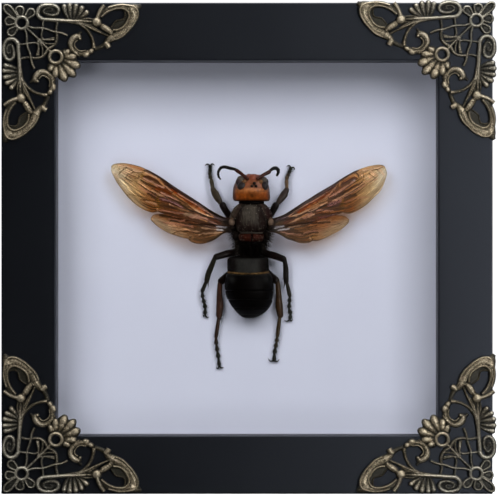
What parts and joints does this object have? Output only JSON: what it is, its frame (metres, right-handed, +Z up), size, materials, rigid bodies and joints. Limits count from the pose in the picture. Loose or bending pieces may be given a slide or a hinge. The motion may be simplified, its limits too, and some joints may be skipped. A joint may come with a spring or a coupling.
{
  "type": "giant hornet mounted in a shadow-box frame",
  "caption": "Giant hornet with spread wings on a pale card behind glass, in a deep square black frame with cast openwork corner ornaments.",
  "frame": {"origin": "middle of the object's bounding box in X and Y, on the surface that the frame's bottom edge stands on", "axes": "+Z up, +X to the right as seen from the front, -Y out of the glass towards the viewer"},
  "size_m": [0.134, 0.0286, 0.1336],
  "materials": {
    "black_paint": "black satin paint over wood",
    "clear_glass": "clear polished",
    "pale_card": "matte bluish white",
    "brown_board": "raw hardboard",
    "plated_steel": "plated, satin",
    "antique_brass": "cast, darkened in the hollows and worn bright on the ridges",
    "dark_chitin": "near-black, finely haired",
    "orange_chitin": "orange-brown, satin",
    "brown_chitin": "dark brown, satin",
    "amber_membrane": "amber, pleated, satin"
  },
  "bodies": {
    "root": {"rail_top": "black_paint", "rail_bottom": "black_paint", "rail_left": "black_paint", "rail_right": "black_paint", "spacer_top": "black_paint", "spacer_bottom": "black_paint", "spacer_left": "black_paint", "spacer_right": "black_paint", "glass_pane": "clear_glass", "backing_card": "pale_card", "back_board": "brown_board", "turn_button_top": "plated_steel", "turn_button_bottom": "plated_steel", "turn_button_left": "plated_steel", "turn_button_right": "plated_steel", "wall_hanger": "plated_steel", "ornament_top_left": "antique_brass", "ornament_top_right": "antique_brass", "ornament_bottom_left": "antique_brass", "ornament_bottom_right": "antique_brass", "head": "orange_chitin", "thorax": "dark_chitin", "gaster": "dark_chitin", "antenna_left": "brown_chitin", "antenna_right": "brown_chitin", "foreleg_left": "brown_chitin", "foreleg_right": "brown_chitin", "midleg_left": "brown_chitin", "midleg_right": "brown_chitin", "hindleg_left": "brown_chitin", "hindleg_right": "brown_chitin", "forewing_left": "amber_membrane", "forewing_right": "amber_membrane", "hindwing_left": "amber_membrane", "hindwing_right": "amber_membrane"}
  },
  "joints": []
}
